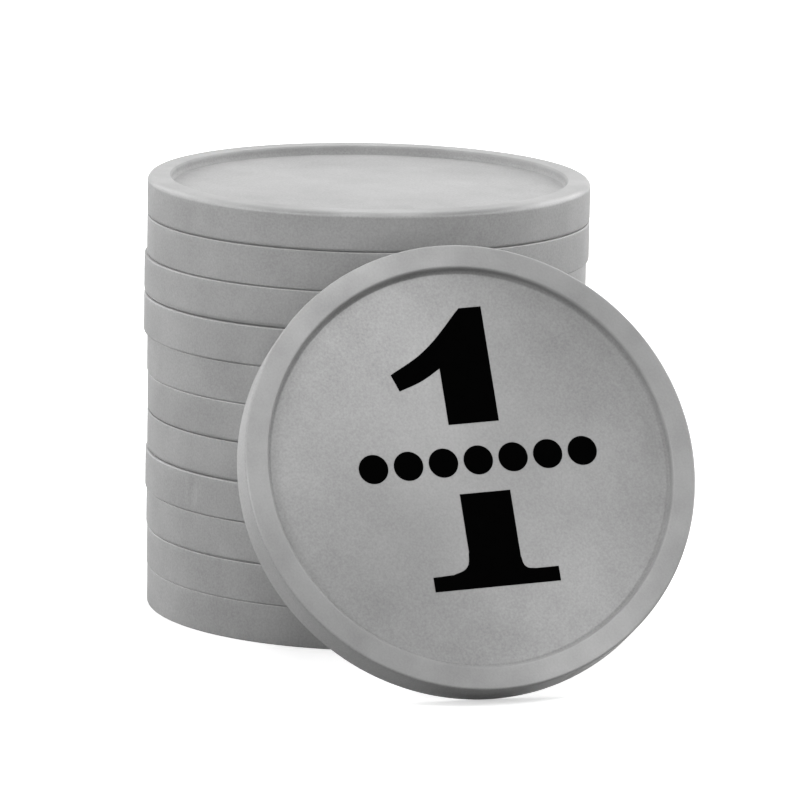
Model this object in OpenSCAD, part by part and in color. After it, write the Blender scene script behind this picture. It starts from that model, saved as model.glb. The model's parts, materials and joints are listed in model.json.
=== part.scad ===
// A pile of moulded plastic drink chips, with one more chip leaning against its front.
// Millimetres, +Z up, seen from the front along +Y.
// The origin is the middle of the whole set's footprint, on the table.

/* [Chip] */
// Diameter of every chip
chip_diameter = 29; // [26:0.5:32]
// Thickness of a chip, measured over its two raised rims
chip_thickness = 2.6; // [2.2:0.1:3.2]
// Width of the raised rim round each face
rim_width = 1.55; // [1:0.05:3]
// Depth of each flat face below its rim
face_recess = 0.6; // [0.4:0.05:0.7]

/* [Edges] */
// Radius of the rounded outer edges
outer_round = 0.1; // [0.05:0.05:0.5]
// Radius of the rounded inner edge of the rim
rim_round = 0.2; // [0.05:0.05:0.25]
// Radius of the hollow corner between the rim and the face
corner_round = 0.25; // [0.05:0.05:0.3]

/* [Gate mark] */
// Width of the scallop left on the side where the chip was broken off its runner
gate_width = 0.8; // [0.4:0.1:1.6]
// Depth of the scallop
gate_depth = 0.08; // [0.04:0.02:0.14]
// Height of the scallop along the side
gate_height = 1.4; // [0.8:0.1:1.6]

/* [Pile] */
// Largest sideways slip of a chip in the pile
pile_slip = 0.4; // [0:0.05:0.6]

/* [Leaning chip] */
// Angle of the leaning chip from upright
lean_angle = 27.5; // [20:0.5:45]
// Angle by which the leaning chip faces to the right of straight ahead
lean_turn = 13.5; // [0:0.5:25]
// Distance of the leaning chip's centre to the right of the pile
lean_aside = 6.25; // [0:0.25:8]
// Turn of the leaning chip's gate mark from its right-hand side
lean_gate = -69; // [-180:1:180]
// Gap between the leaning chip's edge and the foremost chip of the pile
rest_gap = 0.03; // [0.02:0.01:0.1]

/* [Hidden] */
$fn = 96;
plastic_grey = [0.62, 0.62, 0.62];

// Each chip of the pile, the bottom one first: its slip to the right and to the back
// as a share of the largest slip, and the direction that its gate mark faces
PILE = [
    [0, 0, 75],
    [-0.1, 0.05, 130],
    [-0.25, -0.15, 40],
    [-0.5, -0.1, 220],
    [-0.25, -0.4, 110],
    [-0.25, -0.6, 300],
    [-0.4, -0.45, 155],
    [-1, -0.4, 25],
    [-1, -0.7, 95],
    [-0.6, -0.75, 60],
    [-0.6, -0.75, 140],
];

chip_radius = chip_diameter / 2;
half_thickness = chip_thickness / 2;
web_half = half_thickness - face_recess;
rim_inner = chip_radius - rim_width;

// The rim's rounded edge and its hollow corner share the depth of the face
rim_arc = min(rim_round, 0.45 * face_recess);
corner_arc = min(corner_round, 0.5 * face_recess);

pile_height = len(PILE) * chip_thickness;

// A chip's rounded edge is a tube of radius outer_round round a circle at each face
edge_circle = chip_radius - outer_round;
edge_level = half_thickness - outer_round;

// The leaning chip's top edge stays half a chip below the top of the pile
top_edge_limit = pile_height - half_thickness - outer_round;
lean = max(lean_angle, acos(min(1, top_edge_limit / (2 * edge_circle))));

// Directions of the leaning chip: across its face, up its face and out of its front
lean_across = [cos(lean_turn), sin(lean_turn), 0];
lean_up = [-sin(lean) * sin(lean_turn), sin(lean) * cos(lean_turn), cos(lean)];
lean_out = [cos(lean) * sin(lean_turn), -cos(lean) * cos(lean_turn), sin(lean)];

// Places are worked out round the pile's axis first, then moved to the set's origin
function pile_place(i) = [
    pile_slip * PILE[i][0],
    pile_slip * PILE[i][1],
    (i + 0.5) * chip_thickness
];

// Point on the circle inside the leaning chip's back edge, measured from its centre
function back_edge(angle) =
    edge_circle * (cos(angle) * lean_across + sin(angle) * lean_up) - edge_level * lean_out;

// Where the leaning chip's centre lies when that point of its edge meets chip i's side,
// which any chip of the pile could do as it is lifted past
touch_reach = chip_radius + outer_round + rest_gap;
function touch_aside(angle, i) = lean_aside + back_edge(angle).x - pile_place(i).x;
function touch_place(angle, i) =
    pile_place(i).y - back_edge(angle).y - sqrt(touch_reach ^ 2 - touch_aside(angle, i) ^ 2);

lean_forward = min([
    for (angle = [0 : 0.5 : 180], i = [0 : len(PILE) - 1])
        if (abs(touch_aside(angle, i)) < touch_reach) touch_place(angle, i)
]);
lean_height = edge_circle * cos(lean) + edge_level * sin(lean) + outer_round;
lean_place = [lean_aside, lean_forward, lean_height];

// Half the leaning chip's extent along a direction
function lean_extent(direction) =
    edge_circle * sqrt(1 - (lean_out * direction) ^ 2)
    + edge_level * abs(lean_out * direction) + outer_round;

// The set's footprint, whose middle is the origin
function least(axis, direction) = min(
    min([for (i = [0 : len(PILE) - 1]) pile_place(i)[axis]]) - chip_radius,
    lean_place[axis] - lean_extent(direction)
);
function most(axis, direction) = max(
    max([for (i = [0 : len(PILE) - 1]) pile_place(i)[axis]]) + chip_radius,
    lean_place[axis] + lean_extent(direction)
);
set_middle = [
    (least(0, [1, 0, 0]) + most(0, [1, 0, 0])) / 2,
    (least(1, [0, 1, 0]) + most(1, [0, 1, 0])) / 2,
    0
];

// Radius of the cutter whose chord is the gate mark's width at the gate mark's depth
gate_radius = (gate_width ^ 2 / 4 + gate_depth ^ 2) / (2 * gate_depth);

two_digits = function(n) n < 10 ? str("0", n) : str(n);
PILE_NODES = [for (i = [1 : len(PILE)]) str("pile_chip_", two_digits(i))];

// One half of the chip's cross-section above its middle plane, right of its axis
module upper_section() {
    rim_middle = rim_width - rim_arc - outer_round;
    square([rim_inner + rim_arc, web_half]);
    translate([rim_inner + rim_arc, 0]) square([rim_middle, half_thickness]);
    // Outer side and its rounded edge
    translate([edge_circle, 0]) square([outer_round, edge_level]);
    translate([edge_circle, edge_level]) intersection() {
        circle(outer_round);
        square(outer_round);
    }
    // Inner side of the rim and its rounded edge
    translate([rim_inner, 0]) square([rim_arc, half_thickness - rim_arc]);
    translate([rim_inner + rim_arc, half_thickness - rim_arc]) intersection() {
        circle(rim_arc);
        translate([-rim_arc, 0]) square(rim_arc);
    }
    // Hollow corner at the foot of the rim
    translate([rim_inner - corner_arc, web_half]) difference() {
        square(corner_arc);
        translate([0, corner_arc]) circle(corner_arc);
    }
}

// A chip about its own centre, with its gate mark facing the given direction
module chip(gate_turn) {
    difference() {
        rotate_extrude() {
            upper_section();
            mirror([0, 1]) upper_section();
        }
        rotate([0, 0, gate_turn])
            translate([chip_radius - gate_depth + gate_radius, 0, 0])
                cylinder(r = gate_radius, h = gate_height, center = true);
    }
}

module pile_chip(i) {
    color(plastic_grey)
        translate(pile_place(i) - set_middle)
            chip(PILE[i][2]);
}

module leaning_chip() {
    color(plastic_grey)
        translate(lean_place - set_middle)
            rotate([90 - lean, 0, lean_turn])
                chip(lean_gate);
}

for (i = [0 : len(PILE) - 1])
    pile_chip(i);
leaning_chip();
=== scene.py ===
"""A pile of grey moulded drink chips, and one printed chip leaning against its front."""

import json
import math

import bmesh
import bpy
from mathutils import Matrix, Vector


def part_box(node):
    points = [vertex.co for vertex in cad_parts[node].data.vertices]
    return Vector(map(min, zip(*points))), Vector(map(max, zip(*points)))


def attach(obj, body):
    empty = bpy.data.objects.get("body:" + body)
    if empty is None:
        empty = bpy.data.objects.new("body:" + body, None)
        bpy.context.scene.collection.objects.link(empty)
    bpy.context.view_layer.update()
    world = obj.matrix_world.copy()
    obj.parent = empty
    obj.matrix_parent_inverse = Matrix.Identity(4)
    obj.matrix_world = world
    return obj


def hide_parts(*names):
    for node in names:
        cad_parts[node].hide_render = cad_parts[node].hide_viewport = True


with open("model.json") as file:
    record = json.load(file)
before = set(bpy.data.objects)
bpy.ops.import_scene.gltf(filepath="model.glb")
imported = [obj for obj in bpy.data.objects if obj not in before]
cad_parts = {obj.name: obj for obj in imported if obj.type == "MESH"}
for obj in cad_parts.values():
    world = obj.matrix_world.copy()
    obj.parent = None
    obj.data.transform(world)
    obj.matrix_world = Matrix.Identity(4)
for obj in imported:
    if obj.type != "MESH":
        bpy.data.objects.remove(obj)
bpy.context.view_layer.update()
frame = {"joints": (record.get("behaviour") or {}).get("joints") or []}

MM = 0.001

# Sizes of one chip, in millimetres
CHIP_THICKNESS = 2.6
RIM_WIDTH = 1.55
FACE_RECESS = 0.6
RIM_ROUND = 0.2
CORNER_ROUND = 0.25
GATE_WIDTH = 0.8
GATE_DEPTH = 0.08
GATE_HEIGHT = 1.4

# A hair's breadth off each rim, so that chips that lie on each other don't share a plane
HAIR = 0.002

# Bands that differ in finish, in millimetres: the side, as a depth in from its surface, and the wall
# of the recess, as a place past the rim's inner edge and a half width
SIDE_BAND = 0.05
WALL_PAST_RIM = 0.07
WALL_HALF_WIDTH = 0.16

# How finely a chip's mesh is cut, and how strongly its steps gather near the gate mark
STEPS_ROUND = 288
STEPS_PER_EDGE = 8
RING_SPACING = 0.6
GATHER = 0.7

# How close points of a chip and of the numeral lie when they are merged, in millimetres
CHIP_MERGE = 0.001
INK_MERGE = 0.0005

# The pile's chips, the bottom one first: the direction of the gate mark in degrees, and the rounding
# of the upper and of the lower outer edge in millimetres, which wear has made softer on some of them
PILE_CHIPS = [
    (75, 0.05, 0.1),
    (130, 0.1, 0.08),
    (40, 0.05, 0.22),
    (220, 0.1, 0.15),
    (110, 0.05, 0.3),
    (300, 0.1, 0.3),
    (155, 0.1, 0.1),
    (25, 0.1, 0.15),
    (95, 0.07, 0.4),
    (60, 0.07, 0.16),
    (140, 0.4, 0.25),
]

# The leaning chip's gate mark, and its front and back outer edge
LEANING_CHIP = (-69, 0.15, 0.1)

# How dull a side is, from 0 for satin to 1 for matt
PILE_SIDE_DULLNESS = 0.0
LEANING_SIDE_DULLNESS = 0.5

# The print on the leaning chip's face: its roll in degrees and the ink's thickness in millimetres
PRINT_ROLL = 3.5
INK_FILM = 0.03

# The numeral's two parts, in millimetres from the chip's centre: points of the outline,
# each a corner or a point that a curve runs through
NUMERAL = [
    [
        (0.92, 10.43, "corner"),
        (2.37, 10.43, "corner"),
        (2.37, 2.88, "corner"),
        (-0.92, 2.88, "corner"),
        (-0.92, 6.6, "corner"),
        (-2.18, 5.88, "curve"),
        (-3.72, 5.33, "corner"),
        (-4.14, 6.44, "corner"),
        (-1.8, 7.8, "curve"),
    ],
    [
        (-0.92, -1.66, "corner"),
        (2.37, -1.66, "corner"),
        (2.37, -6.0, "corner"),
        (2.6, -6.68, "curve"),
        (3.2, -6.85, "corner"),
        (4.7, -6.85, "corner"),
        (4.7, -7.8, "corner"),
        (-3.45, -7.8, "corner"),
        (-3.45, -6.85, "corner"),
        (-2.1, -6.8, "corner"),
        (-1.2, -6.4, "curve"),
        (-0.92, -5.4, "corner"),
    ],
]

# The row of dots across the numeral, in millimetres
DOT_COUNT = 7
DOT_DIAMETER = 1.9
DOT_PITCH = 2.27
DOT_MIDDLE = (0.63, 0.45)
DOT_SIDES = 64

# The plastic: its greys, the palest also that of a painted highlight, and the sizes of its patterns and of
# the painted highlight in millimetres
PIGMENT_DARK = "#909090"
PIGMENT_PALE = "#ACACAC"
PALEST_FLECK_AND_HIGHLIGHT = "#B4B4B4"
CLOUD_SIZE = 5.0
PATCH_SIZE = 1.8
GRAIN_SIZE = 0.13
GRAIN_DEPTH = 0.015
FLECK_CELL = 1.3
# The painted highlight is at its strongest out to the first distance from the axis and gone at the second
PAINTED_HIGHLIGHT_INNER = 2.0
PAINTED_HIGHLIGHT_OUTER = 11.0
MARK_WANDER = 4.5
SCATTER_DEPTH = 0.4

# How far the patterns move from one chip to the next, in metres
PATTERN_SHIFT = (0.031, 0.047, 0.059)

# The ink: its blacks, and the size of its unevenness in millimetres
INK_DARK = "#000000"
INK_PALE = "#040404"
INK_PATCH = 0.6

# The table: half its side in metres, its white to the eye and the grey of the light it throws back
SQUARE = [(-1, -1), (1, -1), (1, 1), (-1, 1)]
TABLE_HALF = 3.0
TABLE_WHITE = "#F4F4F4"
TABLE_GREY = "#666666"

# The table's own glow: its strength in reflections, what is added for the eye near the object and
# far from it, and the distances in metres between which it grows
GLOW_MIRRORED = 0.2
GLOW_NEAR = 0.3
GLOW_FAR = 0.8
GLOW_START = 0.15
GLOW_END = 0.4

# Softboxes: name, where each stands in metres, its two sides and its power in watts
SOFTBOXES = [
    ("overhead_softbox", (0.0, 0.22, 0.36), (0.3, 0.3), 0.63),
    ("left_softbox", (-0.31, 0.07, 0.15), (0.6, 0.3), 1.3),
    ("right_softbox", (0.31, 0.15, 0.15), (0.44, 0.3), 1.4),
    ("front_right_lamp", (0.093, -0.202, 0.307), (0.05, 0.05), 0.22),
    ("front_left_lamp", (-0.038, -0.2, 0.319), (0.08, 0.08), 0.125),
    ("front_strip", (-0.035, -0.28, 0.245), (0.08, 0.1), 0.17),
    ("side_lamp", (-0.24, -0.25, 0.135), (0.1, 0.1), 0.28),
    ("right_lamp", (0.204, -0.258, 0.146), (0.1, 0.1), 0.13),
]

# The point that the softboxes face, at the middle of the pile's height
AIM = Vector((0, 0, 14)) * MM

# The camera, from the fit of both chips' outlines, with its lens and sensor in millimetres
CAMERA_PLACE = Vector((-2.893, -424.793, 98.362)) * MM
CAMERA_YAW = math.radians(0.2713)
CAMERA_PITCH = math.radians(11.0823)
CAMERA_ROLL = math.radians(1.0753)
CAMERA_LENS = 300.575
CAMERA_SENSOR = 36


def linear(hex_colour):
    """An sRGB hex colour as a linear colour with full alpha."""
    channels = []
    for start in (1, 3, 5):
        value = int(hex_colour[start:start + 2], 16) / 255
        low = value / 12.92
        high = ((value + 0.055) / 1.055) ** 2.4
        channels.append(low if value <= 0.04045 else high)
    return (*channels, 1.0)


def add(tree, kind, inputs=None, **settings):
    """A new node with its settings. An input is a value, a socket, or a node for its first output."""
    node = tree.nodes.new(kind)
    for name, value in settings.items():
        setattr(node, name, value)
    for key, value in (inputs or {}).items():
        if isinstance(value, bpy.types.Node):
            value = value.outputs[0]
        if isinstance(value, bpy.types.NodeSocket):
            tree.links.new(value, node.inputs[key])
        else:
            node.inputs[key].default_value = value
    return node


def bare_tree(owner):
    """The node tree of a new material or world, with nothing in it yet."""
    owner.use_nodes = True
    owner.node_tree.nodes.clear()
    return owner.node_tree


def seen_share(tree, ray):
    """1 for what is seen, mirrored or looked through, and 0 for light that only falls on things."""
    seen = add(
        tree,
        "ShaderNodeMath",
        {0: ray["Is Camera Ray"], 1: ray["Is Glossy Ray"]},
        operation="MAXIMUM",
    )
    return add(tree, "ShaderNodeMath", {0: seen, 1: ray["Is Transmission Ray"]}, operation="MAXIMUM")


def rule_tree(name, inputs):
    """An empty geometry tree with named inputs, and the sockets that give them."""
    tree = bpy.data.node_groups.new(name, "GeometryNodeTree")
    for label, kind in inputs:
        tree.interface.new_socket(label, in_out="INPUT", socket_type=f"NodeSocket{kind}")
    tree.interface.new_socket("Piece", in_out="OUTPUT", socket_type="NodeSocketGeometry")
    return tree, tree.nodes.new("NodeGroupInput").outputs


def chip_tree():
    """The chip as a rule: two half sections with rounded corners, swept round the chip's axis and joined."""
    tree, given = rule_tree("moulded_chip", [
        ("Radius", "Float"),
        ("Half Thickness", "Float"),
        ("Half Web", "Float"),
        ("Rim Width", "Float"),
        ("Upper Round", "Float"),
        ("Lower Round", "Float"),
        ("Rim Round", "Float"),
        ("Corner Round", "Float"),
        ("Gate Half Angle", "Float"),
        ("Gate Half Height", "Float"),
        ("Gate Depth", "Float"),
        ("Ring Spacing", "Float"),
        ("Steps Round", "Int"),
        ("Steps Per Edge", "Int"),
        ("Side Dullness", "Float"),
        ("Seed", "Int"),
        ("Turn", "Vector"),
        ("Place", "Vector"),
        ("Plastic", "Material"),
    ])

    # Each half is swept round the axis from its own section, which runs from the middle of the side
    # to the middle of the face
    path = add(
        tree,
        "GeometryNodeCurvePrimitiveCircle",
        {"Resolution": given["Steps Round"], "Radius": given["Radius"]},
        mode="RADIUS",
    )
    index = add(tree, "GeometryNodeInputIndex")
    here = add(tree, "GeometryNodeInputPosition")
    halves = []
    for edge in ("Upper Round", "Lower Round"):
        # The section's corners as distances in from the side and up from the middle plane
        corners = [
            ({}, None),
            ({1: given["Half Thickness"]}, given[edge]),
            ({0: given["Rim Width"], 1: given["Half Thickness"]}, given["Rim Round"]),
            ({0: given["Rim Width"], 1: given["Half Web"]}, given["Corner Round"]),
            ({0: given["Radius"], 1: given["Half Web"]}, None),
        ]
        spots = add(tree, "GeometryNodeIndexSwitch", data_type="VECTOR")
        rounds = add(tree, "GeometryNodeIndexSwitch", data_type="FLOAT")
        for switch in (spots, rounds):
            tree.links.new(index.outputs[0], switch.inputs["Index"])
            while len(switch.index_switch_items) < len(corners):
                switch.index_switch_items.new()
        for i, (spot, rounding) in enumerate(corners):
            tree.links.new(add(tree, "ShaderNodeCombineXYZ", spot).outputs[0], spots.inputs[1 + i])
            if rounding:
                tree.links.new(rounding, rounds.inputs[1 + i])
        # The profile's own axes point in and down
        spots = add(tree, "ShaderNodeVectorMath", {0: spots, 1: (-1.0, -1.0, 1.0)}, operation="MULTIPLY")
        line = add(tree, "GeometryNodeMeshLine", {"Count": len(corners)})
        outline = add(tree, "GeometryNodeMeshToCurve", {"Mesh": line})
        outline = add(tree, "GeometryNodeSetPosition", {"Geometry": outline, "Position": spots})
        outline = add(
            tree,
            "GeometryNodeFilletCurve",
            {"Curve": outline, "Count": given["Steps Per Edge"], "Radius": rounds, "Limit Radius": True},
            mode="POLY",
        )
        # Rings across the flat parts, so that the shading stays flat up to the rounded edges
        following = add(tree, "ShaderNodeMath", {0: index, 1: 1.0}, operation="ADD")
        there = add(
            tree,
            "GeometryNodeFieldAtIndex",
            {"Index": following, "Value": here},
            data_type="FLOAT_VECTOR",
            domain="POINT",
        )
        gap = add(tree, "ShaderNodeVectorMath", {0: there, 1: here}, operation="DISTANCE").outputs["Value"]
        rings = add(tree, "ShaderNodeMath", {0: gap, 1: given["Ring Spacing"]}, operation="DIVIDE")
        outline = add(tree, "GeometryNodeSubdivideCurve", {"Curve": outline, "Cuts": rings})
        halves.append(add(tree, "GeometryNodeCurveToMesh", {"Curve": path, "Profile Curve": outline}))

    # The sweeps face inwards. The upper half is flipped, and the lower one is mirrored, which does
    # the same. Then the seams and both poles are closed.
    upper, lower = halves
    upper = add(tree, "GeometryNodeFlipFaces", {"Mesh": upper})
    lower = add(tree, "GeometryNodeTransform", {"Geometry": lower, "Scale": (1.0, 1.0, -1.0)})
    shell = add(tree, "GeometryNodeJoinGeometry", {"Geometry": upper})
    tree.links.new(lower.outputs[0], shell.inputs["Geometry"])
    shell = add(tree, "GeometryNodeMergeByDistance", {"Geometry": shell, "Distance": CHIP_MERGE * MM})

    # More of the steps fall near the gate mark, which is on the local X axis
    parts = add(tree, "ShaderNodeSeparateXYZ", {0: here}).outputs
    angle = add(tree, "ShaderNodeMath", {0: parts["Y"], 1: parts["X"]}, operation="ARCTAN2")
    pull = add(tree, "ShaderNodeMath", {0: angle}, operation="SINE")
    pull = add(tree, "ShaderNodeMath", {0: pull, 1: -GATHER}, operation="MULTIPLY")
    gathered = add(
        tree,
        "ShaderNodeVectorRotate",
        {"Vector": here, "Angle": pull},
        rotation_type="Z_AXIS",
    )
    shell = add(tree, "GeometryNodeSetPosition", {"Geometry": shell, "Position": gathered})

    # The gate mark: a shallow scallop in the side, as a dent that is cut further down
    flat = add(tree, "ShaderNodeVectorMath", {0: here, 1: (1.0, 1.0, 0.0)}, operation="MULTIPLY")
    outward = add(tree, "ShaderNodeVectorMath", {0: flat}, operation="NORMALIZE")
    reach = add(tree, "ShaderNodeVectorMath", {0: flat}, operation="LENGTH").outputs["Value"]
    inset = add(tree, "ShaderNodeMath", {0: given["Radius"], 1: reach}, operation="SUBTRACT")
    on_side = add(tree, "ShaderNodeMath", {0: inset, 1: SIDE_BAND * MM}, operation="LESS_THAN")
    aside = add(tree, "ShaderNodeMath", {0: angle, 1: given["Gate Half Angle"]}, operation="DIVIDE")
    aside = add(tree, "ShaderNodeMath", {0: aside, 1: 2.0}, operation="POWER")
    across = add(tree, "ShaderNodeMath", {0: 1.0, 1: aside}, operation="SUBTRACT", use_clamp=True)
    aloft = add(tree, "ShaderNodeMath", {0: parts["Z"], 1: given["Gate Half Height"]}, operation="DIVIDE")
    aloft = add(tree, "ShaderNodeMath", {0: aloft, 1: 4.0}, operation="POWER")
    along = add(tree, "ShaderNodeMath", {0: 1.0, 1: aloft}, operation="SUBTRACT", use_clamp=True)
    hollow = add(tree, "ShaderNodeMath", {0: across, 1: along}, operation="MULTIPLY")
    hollow = add(tree, "ShaderNodeMath", {0: hollow, 1: on_side}, operation="MULTIPLY")
    hollow = add(tree, "ShaderNodeMath", {0: hollow, 1: given["Gate Depth"]}, operation="MULTIPLY")
    dent = add(tree, "ShaderNodeVectorMath", {0: outward, "Scale": hollow}, operation="SCALE")
    dented = add(tree, "ShaderNodeVectorMath", {0: here, 1: dent}, operation="SUBTRACT")

    # What the plastic reads: a spot in the chip's own frame, and the direction of the turning marks.
    # They run round the faces and up the side, and are longer the further they are from the axis.
    # Two shares tell what is dull, the wall of the recess and a worn side, and what is rim.
    shift = add(
        tree,
        "ShaderNodeVectorMath",
        {0: PATTERN_SHIFT, "Scale": given["Seed"]},
        operation="SCALE",
    )
    spot = add(tree, "ShaderNodeVectorMath", {0: here, 1: shift}, operation="ADD")
    shell = add(
        tree,
        "GeometryNodeStoreNamedAttribute",
        {"Geometry": shell, "Name": "spot", "Value": spot},
        data_type="FLOAT_VECTOR",
        domain="POINT",
    )
    round_way = add(tree, "ShaderNodeVectorMath", {0: (0.0, 0.0, 1.0), 1: flat}, operation="CROSS_PRODUCT")
    up_way = add(tree, "ShaderNodeCombineXYZ", {2: given["Radius"]})
    way = add(
        tree,
        "GeometryNodeSwitch",
        {"Switch": on_side, "False": round_way, "True": up_way},
        input_type="VECTOR",
    )
    wall = add(tree, "ShaderNodeMath", {0: given["Rim Width"], 1: WALL_PAST_RIM * MM}, operation="ADD")
    on_wall = add(
        tree,
        "ShaderNodeMath",
        {0: inset, 1: wall, 2: WALL_HALF_WIDTH * MM},
        operation="COMPARE",
    )
    dull_side = add(tree, "ShaderNodeMath", {0: on_side, 1: given["Side Dullness"]}, operation="MULTIPLY")
    dull = add(tree, "ShaderNodeMath", {0: on_wall, 1: dull_side}, operation="MAXIMUM")
    on_rim = add(tree, "ShaderNodeMath", {0: inset, 1: given["Rim Width"]}, operation="LESS_THAN")
    on_rim = add(tree, "ShaderNodeMath", {0: on_rim, 1: on_side}, operation="SUBTRACT", use_clamp=True)
    for label, share in (("dull", dull), ("rim", on_rim)):
        shell = add(
            tree,
            "GeometryNodeStoreNamedAttribute",
            {"Geometry": shell, "Name": label, "Value": share},
            data_type="FLOAT",
            domain="POINT",
        )
    turned = add(tree, "FunctionNodeRotateVector", {"Vector": way, "Rotation": given["Turn"]})
    shell = add(
        tree,
        "GeometryNodeStoreNamedAttribute",
        {"Geometry": shell, "Name": "turning_marks", "Value": turned},
        data_type="FLOAT_VECTOR",
        domain="POINT",
    )
    # The dent comes last, so that it keeps the values of the side that it is in
    shell = add(tree, "GeometryNodeSetPosition", {"Geometry": shell, "Position": dented})
    shell = add(
        tree,
        "GeometryNodeTransform",
        {"Geometry": shell, "Translation": given["Place"], "Rotation": given["Turn"]},
    )
    shell = add(tree, "GeometryNodeSetShadeSmooth", {"Geometry": shell})
    shell = add(tree, "GeometryNodeRealizeInstances", {"Geometry": shell})
    shell = add(tree, "GeometryNodeSetMaterial", {"Geometry": shell, "Material": given["Plastic"]})
    add(tree, "NodeGroupOutput", {"Piece": shell})
    return tree


def dot_row_tree():
    """A row of equal round dots of ink."""
    tree, given = rule_tree("printed_dots", [
        ("Count", "Int"),
        ("Dot Radius", "Float"),
        ("Film", "Float"),
        ("First", "Vector"),
        ("Step", "Vector"),
        ("Turn", "Vector"),
        ("Place", "Vector"),
        ("Ink", "Material"),
    ])
    dot = add(
        tree,
        "GeometryNodeMeshCylinder",
        {"Vertices": DOT_SIDES, "Radius": given["Dot Radius"], "Depth": given["Film"]},
    )
    line = add(
        tree,
        "GeometryNodeMeshLine",
        {"Count": given["Count"], "Start Location": given["First"], "Offset": given["Step"]},
    )
    row = add(tree, "GeometryNodeInstanceOnPoints", {"Points": line, "Instance": dot})
    row = add(
        tree,
        "GeometryNodeTransform",
        {"Geometry": row, "Translation": given["Place"], "Rotation": given["Turn"]},
    )
    row = add(tree, "GeometryNodeRealizeInstances", {"Geometry": row})
    row = add(tree, "GeometryNodeSetMaterial", {"Geometry": row, "Material": given["Ink"]})
    add(tree, "NodeGroupOutput", {"Piece": row})
    return tree


def grow(name, tree, values):
    """A plain mesh object at the origin, made by a tree from named values."""
    piece = bpy.data.objects.new(name, bpy.data.meshes.new(name))
    bpy.context.scene.collection.objects.link(piece)
    rule = piece.modifiers.new("rule", "NODES")
    rule.node_group = tree
    for item in tree.interface.items_tree:
        if item.in_out == "INPUT":
            rule[item.identifier] = values[item.name]
    piece.update_tag()
    bpy.context.view_layer.update()
    depsgraph = bpy.context.evaluated_depsgraph_get()
    mesh = bpy.data.meshes.new_from_object(
        piece.evaluated_get(depsgraph), preserve_all_data_layers=True, depsgraph=depsgraph
    )
    piece.modifiers.remove(rule)
    piece.data = mesh
    mesh.name = name
    return piece


def printed_numeral(name, outlines, film, place, ink):
    """A numeral of ink: flat outlines filled to a thin film, then laid in their place."""
    drawing = bpy.data.curves.new(name, "CURVE")
    drawing.dimensions = "2D"
    drawing.fill_mode = "BOTH"
    drawing.extrude = film / 2
    drawing.resolution_u = 16
    for outline in outlines:
        spline = drawing.splines.new("BEZIER")
        spline.bezier_points.add(len(outline) - 1)
        spline.use_cyclic_u = True
        for point, (across, up, kind) in zip(spline.bezier_points, outline):
            point.co = (across * MM, up * MM, 0)
            handle = "VECTOR" if kind == "corner" else "AUTO"
            point.handle_left_type = handle
            point.handle_right_type = handle
    sketch = bpy.data.objects.new(name + "_sketch", drawing)
    bpy.context.scene.collection.objects.link(sketch)
    bpy.context.view_layer.update()
    depsgraph = bpy.context.evaluated_depsgraph_get()
    mesh = bpy.data.meshes.new_from_object(sketch.evaluated_get(depsgraph), depsgraph=depsgraph)
    bpy.data.objects.remove(sketch)
    solid = bmesh.new()
    solid.from_mesh(mesh)
    bmesh.ops.remove_doubles(solid, verts=solid.verts, dist=INK_MERGE * MM)
    bmesh.ops.recalc_face_normals(solid, faces=solid.faces)
    solid.to_mesh(mesh)
    solid.free()
    mesh.transform(place)
    mesh.name = name
    mesh.materials.clear()
    mesh.materials.append(ink)
    piece = bpy.data.objects.new(name, mesh)
    bpy.context.scene.collection.objects.link(piece)
    return piece


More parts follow.
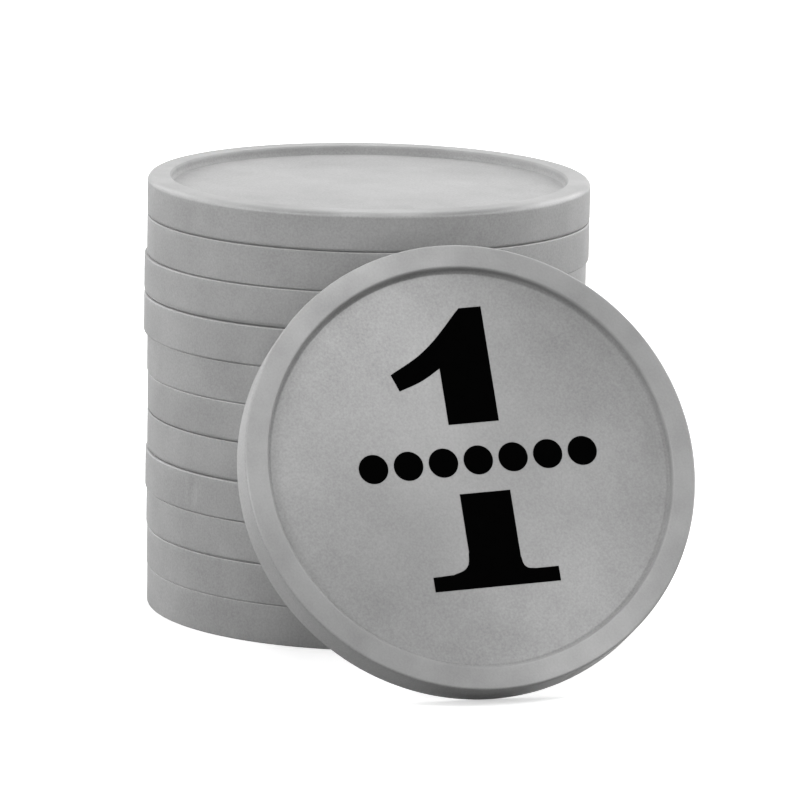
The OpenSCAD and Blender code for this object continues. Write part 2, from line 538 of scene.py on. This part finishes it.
def satin_abs():
    """Grey ABS from a turned steel mould: satin, with fine concentric marks that draw a highlight out
    across them, a cloudy pigment, a painted highlight that makes the middle of each face paler,
    a fine grain and a few pale flecks."""
    material = bpy.data.materials.new("satin_moulded_abs")
    tree = bare_tree(material)
    spot = add(tree, "ShaderNodeAttribute", attribute_name="spot").outputs["Vector"]
    marks = add(tree, "ShaderNodeAttribute", attribute_name="turning_marks").outputs["Vector"]
    # The marks wander by a few millimetres, which blurs their direction most near the middle of a face.
    # Sockets 9 and 10 are the least and the most that the vector is mapped to.
    wander = add(tree, "ShaderNodeTexWhiteNoise", {"Vector": spot}, noise_dimensions="3D").outputs["Color"]
    most = Vector((1, 1, 1)) * MARK_WANDER * MM
    wander = add(
        tree,
        "ShaderNodeMapRange",
        {"Vector": wander, 9: -most, 10: most},
        data_type="FLOAT_VECTOR",
    ).outputs["Vector"]
    wandering = add(tree, "ShaderNodeVectorMath", {0: marks, 1: wander}, operation="ADD")
    tangent = add(
        tree,
        "ShaderNodeVectorTransform",
        {"Vector": wandering},
        vector_type="VECTOR",
        convert_from="OBJECT",
        convert_to="WORLD",
    )
    tangent = add(tree, "ShaderNodeVectorMath", {0: tangent}, operation="NORMALIZE")
    # Clouds of pigment, smaller patches in them and a fine grain.
    # A Mix node's sockets 2 and 3 are its two numbers, and 6 and 7 its two colours.
    clouds, patches, grain = (
        add(tree, "ShaderNodeTexNoise", {"Vector": spot, "Scale": 1 / (size * MM), "Detail": detail})
        for size, detail in ((CLOUD_SIZE, 3.0), (PATCH_SIZE, 2.0), (GRAIN_SIZE, 1.0))
    )
    mottle = add(tree, "ShaderNodeMix", {0: 0.25, 2: clouds, 3: patches}, data_type="FLOAT")
    # The rim has less grain than the rest
    rim = add(tree, "ShaderNodeAttribute", attribute_name="rim").outputs["Fac"]
    coarse = add(tree, "ShaderNodeMix", {0: rim, 2: 0.45, 3: 0.2}, data_type="FLOAT")
    mottle = add(tree, "ShaderNodeMix", {0: coarse, 2: mottle, 3: grain}, data_type="FLOAT")
    pigment = add(tree, "ShaderNodeValToRGB", {"Fac": mottle})
    pigment.color_ramp.elements[0].position = 0.3
    pigment.color_ramp.elements[0].color = linear(PIGMENT_DARK)
    pigment.color_ramp.elements[1].position = 0.7
    pigment.color_ramp.elements[1].color = linear(PIGMENT_PALE)
    # Flecks about 0.2 mm across, one in every cell
    cells = add(tree, "ShaderNodeTexVoronoi", {"Vector": spot, "Scale": 1 / (FLECK_CELL * MM)})
    fleck = cells.outputs["Distance"]
    fleck = add(
        tree,
        "ShaderNodeMapRange",
        {"Value": fleck, "From Min": 0.05, "From Max": 0.11, "To Min": 0.2, "To Max": 0.0},
    )
    flecked = add(
        tree,
        "ShaderNodeMix",
        {"Factor": fleck, 6: pigment, 7: linear(PALEST_FLECK_AND_HIGHLIGHT)},
        data_type="RGBA",
    )
    # A painted highlight: the colour is paler in the middle of each face
    reach = add(tree, "ShaderNodeVectorMath", {0: marks}, operation="LENGTH").outputs["Value"]
    painted_highlight = add(
        tree,
        "ShaderNodeMapRange",
        {
            "Value": reach,
            "From Min": PAINTED_HIGHLIGHT_INNER * MM,
            "From Max": PAINTED_HIGHLIGHT_OUTER * MM,
            "To Min": 0.25,
            "To Max": 0.0,
        },
        interpolation_type="SMOOTHSTEP",
    )
    highlighted_pigment = add(
        tree,
        "ShaderNodeMix",
        {"Factor": painted_highlight, 6: flecked.outputs[2], 7: linear(PALEST_FLECK_AND_HIGHLIGHT)},
        data_type="RGBA",
    )
    roughness = add(
        tree,
        "ShaderNodeMapRange",
        {"Value": mottle, "From Min": 0.3, "From Max": 0.7, "To Min": 0.44, "To Max": 0.36},
    )
    # The wall of the recess has no marks and is duller, and a worn side is so in part
    dull = add(tree, "ShaderNodeAttribute", attribute_name="dull").outputs["Fac"]
    finish = {}
    for socket, satin, matt in (
        ("Roughness", roughness, 0.65),
        ("Anisotropic", 0.9, 0.0),
        ("Metallic", 0.12, 0.0),
        ("Specular IOR Level", 0.5, 0.15),
    ):
        finish[socket] = add(tree, "ShaderNodeMix", {0: dull, 2: satin, 3: matt}, data_type="FLOAT")
    # The marks are cut like a saw's teeth, so on the whole they face a little outwards, least on the rim
    facing = add(tree, "ShaderNodeNewGeometry").outputs["Normal"]
    outward = add(tree, "ShaderNodeVectorMath", {0: tangent, 1: facing}, operation="CROSS_PRODUCT")
    tilt = add(tree, "ShaderNodeMix", {0: rim, 2: 0.08, 3: 0.02}, data_type="FLOAT")
    leaned = add(
        tree,
        "ShaderNodeVectorMath",
        {0: outward, 1: tilt, 2: facing},
        operation="MULTIPLY_ADD",
    )
    leaned = add(tree, "ShaderNodeVectorMath", {0: leaned}, operation="NORMALIZE")
    relief = add(
        tree,
        "ShaderNodeBump",
        {"Height": grain, "Strength": 0.25, "Distance": GRAIN_DEPTH * MM, "Normal": leaned},
    )
    shader = add(
        tree,
        "ShaderNodeBsdfPrincipled",
        {
            **finish,
            "Base Color": highlighted_pigment.outputs[2],
            "IOR": 1.54,
            "Subsurface Weight": 0.2,
            "Subsurface Radius": (1.0, 1.0, 1.0),
            "Subsurface Scale": SCATTER_DEPTH * MM,
            "Anisotropic Rotation": 0.25,
            "Tangent": tangent,
            "Normal": relief,
        },
    )
    add(tree, "ShaderNodeOutputMaterial", {"Surface": shader})
    return material


def pad_ink():
    """Black pad-printing ink: a thin matt film, a little uneven where it is thinnest."""
    material = bpy.data.materials.new("black_pad_printing_ink")
    tree = bare_tree(material)
    place = add(tree, "ShaderNodeTexCoord").outputs["Object"]
    film = add(tree, "ShaderNodeTexNoise", {"Vector": place, "Scale": 1 / (INK_PATCH * MM), "Detail": 3.0})
    colour = add(tree, "ShaderNodeValToRGB", {"Fac": film})
    colour.color_ramp.elements[0].color = linear(INK_DARK)
    colour.color_ramp.elements[1].color = linear(INK_PALE)
    roughness = add(tree, "ShaderNodeMapRange", {"Value": film, "To Min": 0.75, "To Max": 0.9})
    shader = add(
        tree,
        "ShaderNodeBsdfPrincipled",
        {"Base Color": colour, "Roughness": roughness, "IOR": 1.45, "Specular IOR Level": 0.01},
    )
    add(tree, "ShaderNodeOutputMaterial", {"Surface": shader})
    return material


# The leaning chip's stance, from the hinge that it tips on and its own box
tip = next(joint for joint in frame["joints"] if joint["name"] == "tip_leaning_chip")
lean_turn = math.atan2(tip["axis"][1], tip["axis"][0])
lean_angle = math.radians(tip["range_deg"][1])
lean_low, lean_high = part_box("leaning_chip")
lean_middle = (lean_low + lean_high) / 2
lean_stance = Matrix.Rotation(lean_turn, 3, "Z") @ Matrix.Rotation(math.pi / 2 - lean_angle, 3, "X")

plastic = satin_abs()
ink = pad_ink()
chip_rule = chip_tree()
foot_low, foot_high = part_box("pile_chip_01")
chip_radius = (foot_high.x - foot_low.x) / 2
half_web = (CHIP_THICKNESS / 2 - FACE_RECESS) * MM
chip_values = {
    "Radius": chip_radius,
    "Half Thickness": (CHIP_THICKNESS / 2 - HAIR) * MM,
    "Half Web": half_web,
    "Rim Width": RIM_WIDTH * MM,
    "Rim Round": RIM_ROUND * MM,
    "Corner Round": CORNER_ROUND * MM,
    "Gate Half Angle": GATE_WIDTH / 2 * MM / chip_radius,
    "Gate Half Height": GATE_HEIGHT / 2 * MM,
    "Gate Depth": GATE_DEPTH * MM,
    "Ring Spacing": RING_SPACING * MM,
    "Steps Round": STEPS_ROUND,
    "Steps Per Edge": STEPS_PER_EDGE,
    "Plastic": plastic,
}

stances = []
for number, chip in enumerate(PILE_CHIPS, 1):
    stances.append((f"pile_chip_{number:02d}", Matrix.Identity(3), chip, PILE_SIDE_DULLNESS))
stances.append(("leaning_chip", lean_stance, LEANING_CHIP, LEANING_SIDE_DULLNESS))
for seed, (node, stance, (gate, upper_round, lower_round), dullness) in enumerate(stances, 1):
    low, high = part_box(node)
    own = {
        "Seed": seed,
        "Upper Round": upper_round * MM,
        "Lower Round": lower_round * MM,
        "Side Dullness": dullness,
        "Turn": tuple((stance @ Matrix.Rotation(math.radians(gate), 3, "Z")).to_euler()),
        "Place": tuple((low + high) / 2),
    }
    chip = grow(f"{node}_plastic", chip_rule, {**chip_values, **own})
    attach(chip, node)
    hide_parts(node)

# The print lies on the leaning chip's front face, half sunk in
print_stance = lean_stance @ Matrix.Rotation(math.radians(PRINT_ROLL), 3, "Z")
print_middle = lean_middle + lean_stance @ Vector((0, 0, half_web))
numeral = printed_numeral(
    "leaning_chip_numeral",
    NUMERAL,
    INK_FILM * MM,
    Matrix.Translation(print_middle) @ print_stance.to_4x4(),
    ink,
)
dots = grow("leaning_chip_dots", dot_row_tree(), {
    "Count": DOT_COUNT,
    "Dot Radius": DOT_DIAMETER / 2 * MM,
    "Film": INK_FILM * MM,
    "First": ((DOT_MIDDLE[0] - (DOT_COUNT - 1) / 2 * DOT_PITCH) * MM, DOT_MIDDLE[1] * MM, 0.0),
    "Step": (DOT_PITCH * MM, 0.0, 0.0),
    "Turn": tuple(print_stance.to_euler()),
    "Place": tuple(print_middle),
    "Ink": ink,
})
for mark in (numeral, dots):
    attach(mark, "leaning_chip")

# The table: white to the eye and in reflections, a mid grey where it only throws light back
floor_mesh = bpy.data.meshes.new("table")
floor_corners = [(across * TABLE_HALF, along * TABLE_HALF, 0) for across, along in SQUARE]
floor_mesh.from_pydata(floor_corners, [], [(0, 1, 2, 3)])
floor = bpy.data.objects.new("table", floor_mesh)
bpy.context.scene.collection.objects.link(floor)
paper = bpy.data.materials.new("matt_white_paper")
tree = bare_tree(paper)
ray = add(tree, "ShaderNodeLightPath").outputs
white = add(tree, "ShaderNodeBsdfDiffuse", {"Color": linear(TABLE_WHITE)})
# Its own white for the eye grows away from the object, where the lamps no longer reach
place = add(tree, "ShaderNodeTexCoord").outputs["Object"]
far = add(tree, "ShaderNodeVectorMath", {0: place}, operation="LENGTH").outputs["Value"]
far = add(
    tree,
    "ShaderNodeMapRange",
    {"Value": far, "From Min": GLOW_START, "From Max": GLOW_END, "To Min": GLOW_NEAR, "To Max": GLOW_FAR},
)
glow = add(
    tree,
    "ShaderNodeMath",
    {0: ray["Is Camera Ray"], 1: far, 2: GLOW_MIRRORED},
    operation="MULTIPLY_ADD",
)
glow = add(tree, "ShaderNodeEmission", {"Color": linear("#FFFFFF"), "Strength": glow})
bright = add(tree, "ShaderNodeAddShader", {0: white, 1: glow})
dull = add(tree, "ShaderNodeBsdfDiffuse", {"Color": linear(TABLE_GREY)})
surface = add(tree, "ShaderNodeMixShader", {0: seen_share(tree, ray), 1: dull, 2: bright})
add(tree, "ShaderNodeOutputMaterial", {"Surface": surface})
floor_mesh.materials.append(paper)

# The room: white where it is seen or mirrored, with no light of its own
world = bpy.data.worlds.new("studio")
bpy.context.scene.world = world
tree = bare_tree(world)
ray = add(tree, "ShaderNodeLightPath").outputs
sky = add(
    tree,
    "ShaderNodeBackground",
    {"Color": linear("#FFFFFF"), "Strength": seen_share(tree, ray)},
)
add(tree, "ShaderNodeOutputWorld", {"Surface": sky})

# The lamps light the object and aren't seen by the camera
for name, spot, (wide, deep), power in SOFTBOXES:
    lamp = bpy.data.lights.new(name, "AREA")
    lamp.shape = "RECTANGLE"
    lamp.size = wide
    lamp.size_y = deep
    lamp.energy = power
    softbox = bpy.data.objects.new(name, lamp)
    softbox.location = spot
    softbox.rotation_euler = (AIM - Vector(spot)).to_track_quat("-Z", "Y").to_euler()
    softbox.visible_camera = False
    bpy.context.scene.collection.objects.link(softbox)

# The camera at the photograph's viewing angle
lens = bpy.data.cameras.new("camera")
lens.sensor_width = CAMERA_SENSOR
lens.lens = CAMERA_LENS
lens.clip_start = 0.01
lens.clip_end = 20
camera = bpy.data.objects.new("camera", lens)
camera.location = CAMERA_PLACE
camera.rotation_euler = (
    Matrix.Rotation(-CAMERA_YAW, 3, "Z")
    @ Matrix.Rotation(math.pi / 2 - CAMERA_PITCH, 3, "X")
    @ Matrix.Rotation(CAMERA_ROLL, 3, "Z")
).to_euler()
bpy.context.scene.collection.objects.link(camera)
bpy.context.scene.camera = camera

bpy.context.scene.view_settings.view_transform = "Standard"
